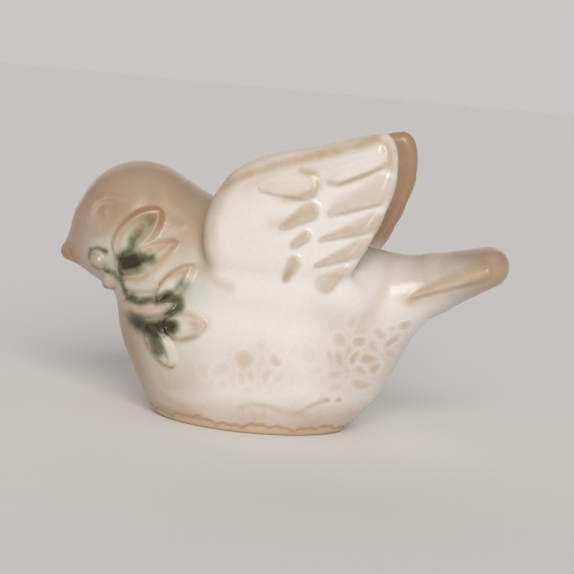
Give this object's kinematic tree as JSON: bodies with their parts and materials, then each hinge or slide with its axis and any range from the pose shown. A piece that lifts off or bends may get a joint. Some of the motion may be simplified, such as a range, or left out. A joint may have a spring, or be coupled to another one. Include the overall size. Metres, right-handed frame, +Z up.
{
  "type": "dove figurine",
  "caption": "Small glazed stoneware dove with raised wings and a leafy berry sprig at its throat, standing on a flat foot.",
  "frame": {"origin": "middle of the flat foot, to within a millimetre, on the surface that the dove stands on", "axes": "+Z up, +X from the beak towards the tail, +Y to the dove's right side, away from the sprig"},
  "size_m": [0.077, 0.0328, 0.051],
  "materials": {
    "glaze": "glossy white glaze that thins to tan on the edges"
  },
  "bodies": {
    "root": {"dove": "glaze"}
  },
  "joints": []
}
